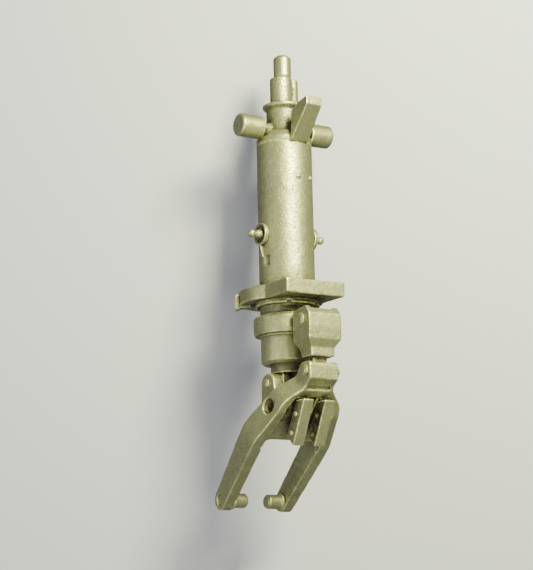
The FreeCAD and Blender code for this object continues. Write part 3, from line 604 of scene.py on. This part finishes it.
def soft_light(name, direction, distance, size, power, colour):
    """Square area light that faces the looked-at point."""
    target = sight_lines()[3]
    bpy.ops.object.light_add(type="AREA", location=target + direction * distance)
    lamp = bpy.context.object
    lamp.name = name
    lamp.rotation_euler = direction.to_track_quat("Z", "Y").to_euler()
    lamp.data.size = size
    lamp.data.energy = power
    lamp.data.color = colour


def studio_world():
    """Dim even light on the strut, and a pale surround behind it."""
    world = bpy.data.worlds.new("studio")
    world.use_nodes = True
    tree = world.node_tree
    dim = tree.nodes["Background"]
    dim.inputs["Color"].default_value = (0.80, 0.84, 1.0, 1.0)
    dim.inputs["Strength"].default_value = 0.24
    pale = tree.nodes.new("ShaderNodeBackground")
    pale.inputs["Color"].default_value = (0.80, 0.80, 0.79, 1.0)
    pale.inputs["Strength"].default_value = 0.80
    path = tree.nodes.new("ShaderNodeLightPath")
    choose = tree.nodes.new("ShaderNodeMixShader")
    tree.links.new(path.outputs["Is Camera Ray"], choose.inputs["Fac"])
    tree.links.new(dim.outputs["Background"], choose.inputs[1])
    tree.links.new(pale.outputs["Background"], choose.inputs[2])
    tree.links.new(choose.outputs["Shader"], tree.nodes["World Output"].inputs["Surface"])
    return world


class STRUT_OT_stage(bpy.types.Operator):
    """Floor, backdrop, soft lights and camera"""
    bl_idname = "strut.stage"
    bl_label = "Stage"

    def execute(self, context):
        look = context.scene.strut_stage
        back, right, up, target = sight_lines()
        bpy.ops.object.select_all(action="DESELECT")
        bpy.ops.mesh.primitive_plane_add(size=STAGE_SIZE,
                                         location=(0.0, 0.0, cad_low.z - FORK_DROP))
        floor = context.object
        floor.name = "floor"
        floor.data.materials.append(stage_material())
        bpy.ops.mesh.primitive_plane_add(size=STAGE_SIZE,
                                         location=target - back * BACKDROP_GAP)
        backdrop = context.object
        backdrop.name = "backdrop"
        backdrop.rotation_mode = "QUATERNION"
        backdrop.rotation_quaternion = back.to_track_quat("Z", "Y")
        backdrop.data.materials.append(stage_material())

        soft_light("key", Vector((-0.02, -0.84, 0.47)).normalized(), 3.4, 1.1,
                   look.key_power, KEY_COLOUR)
        soft_light("fill", (back - right * 1.3 - up * 0.10).normalized(), 3.2, 2.2,
                   look.fill_power, FILL_COLOUR)
        soft_light("front", (back + right * 0.25 - up * 0.30).normalized(), 3.4, 1.4,
                   look.front_power, FRONT_COLOUR)
        context.scene.world = studio_world()

        bpy.ops.object.camera_add(location=target + back * look.distance)
        camera = context.object
        turned_right = right * math.cos(look.roll) - up * math.sin(look.roll)
        turned_up = right * math.sin(look.roll) + up * math.cos(look.roll)
        camera.rotation_mode = "QUATERNION"
        axes = Matrix((turned_right, turned_up, back)).transposed()
        camera.rotation_quaternion = axes.to_quaternion()
        camera.data.sensor_width = 36.0
        camera.data.lens = look.lens
        camera.data.clip_end = 60.0
        context.scene.camera = camera
        return {"FINISHED"}


class STRUT_PT_panel(bpy.types.Panel):
    """Sidebar panel with the strut's operators and settings"""
    bl_idname = "STRUT_PT_panel"
    bl_label = "Landing gear strut"
    bl_space_type = "VIEW_3D"
    bl_region_type = "UI"
    bl_category = "Strut"

    def draw(self, context):
        for operator in OPERATORS:
            self.layout.operator(operator.bl_idname)
        for group in (context.scene.strut_finish, context.scene.strut_stage):
            box = self.layout.box()
            for name in group.__annotations__:
                box.prop(group, name)


OPERATORS = (STRUT_OT_stage, STRUT_OT_barrel, STRUT_OT_head, STRUT_OT_side_fittings,
             STRUT_OT_steering, STRUT_OT_fork, STRUT_OT_pins, STRUT_OT_turned_pieces)
CLASSES = (StrutFinish, StrutStage, *OPERATORS, STRUT_PT_panel)


def register():
    """Registers the classes and the settings."""
    for entry in CLASSES:
        bpy.utils.register_class(entry)
    bpy.types.Scene.strut_finish = PointerProperty(type=StrutFinish)
    bpy.types.Scene.strut_stage = PointerProperty(type=StrutStage)


def unregister():
    """Takes the settings and the classes away again."""
    del bpy.types.Scene.strut_stage
    del bpy.types.Scene.strut_finish
    for entry in reversed(CLASSES):
        bpy.utils.unregister_class(entry)


def main():
    """Builds the dressed strut."""
    register()
    for operator in OPERATORS:
        group, name = operator.bl_idname.split(".")
        getattr(getattr(bpy.ops, group), name)()


if __name__ == "__main__":
    main()
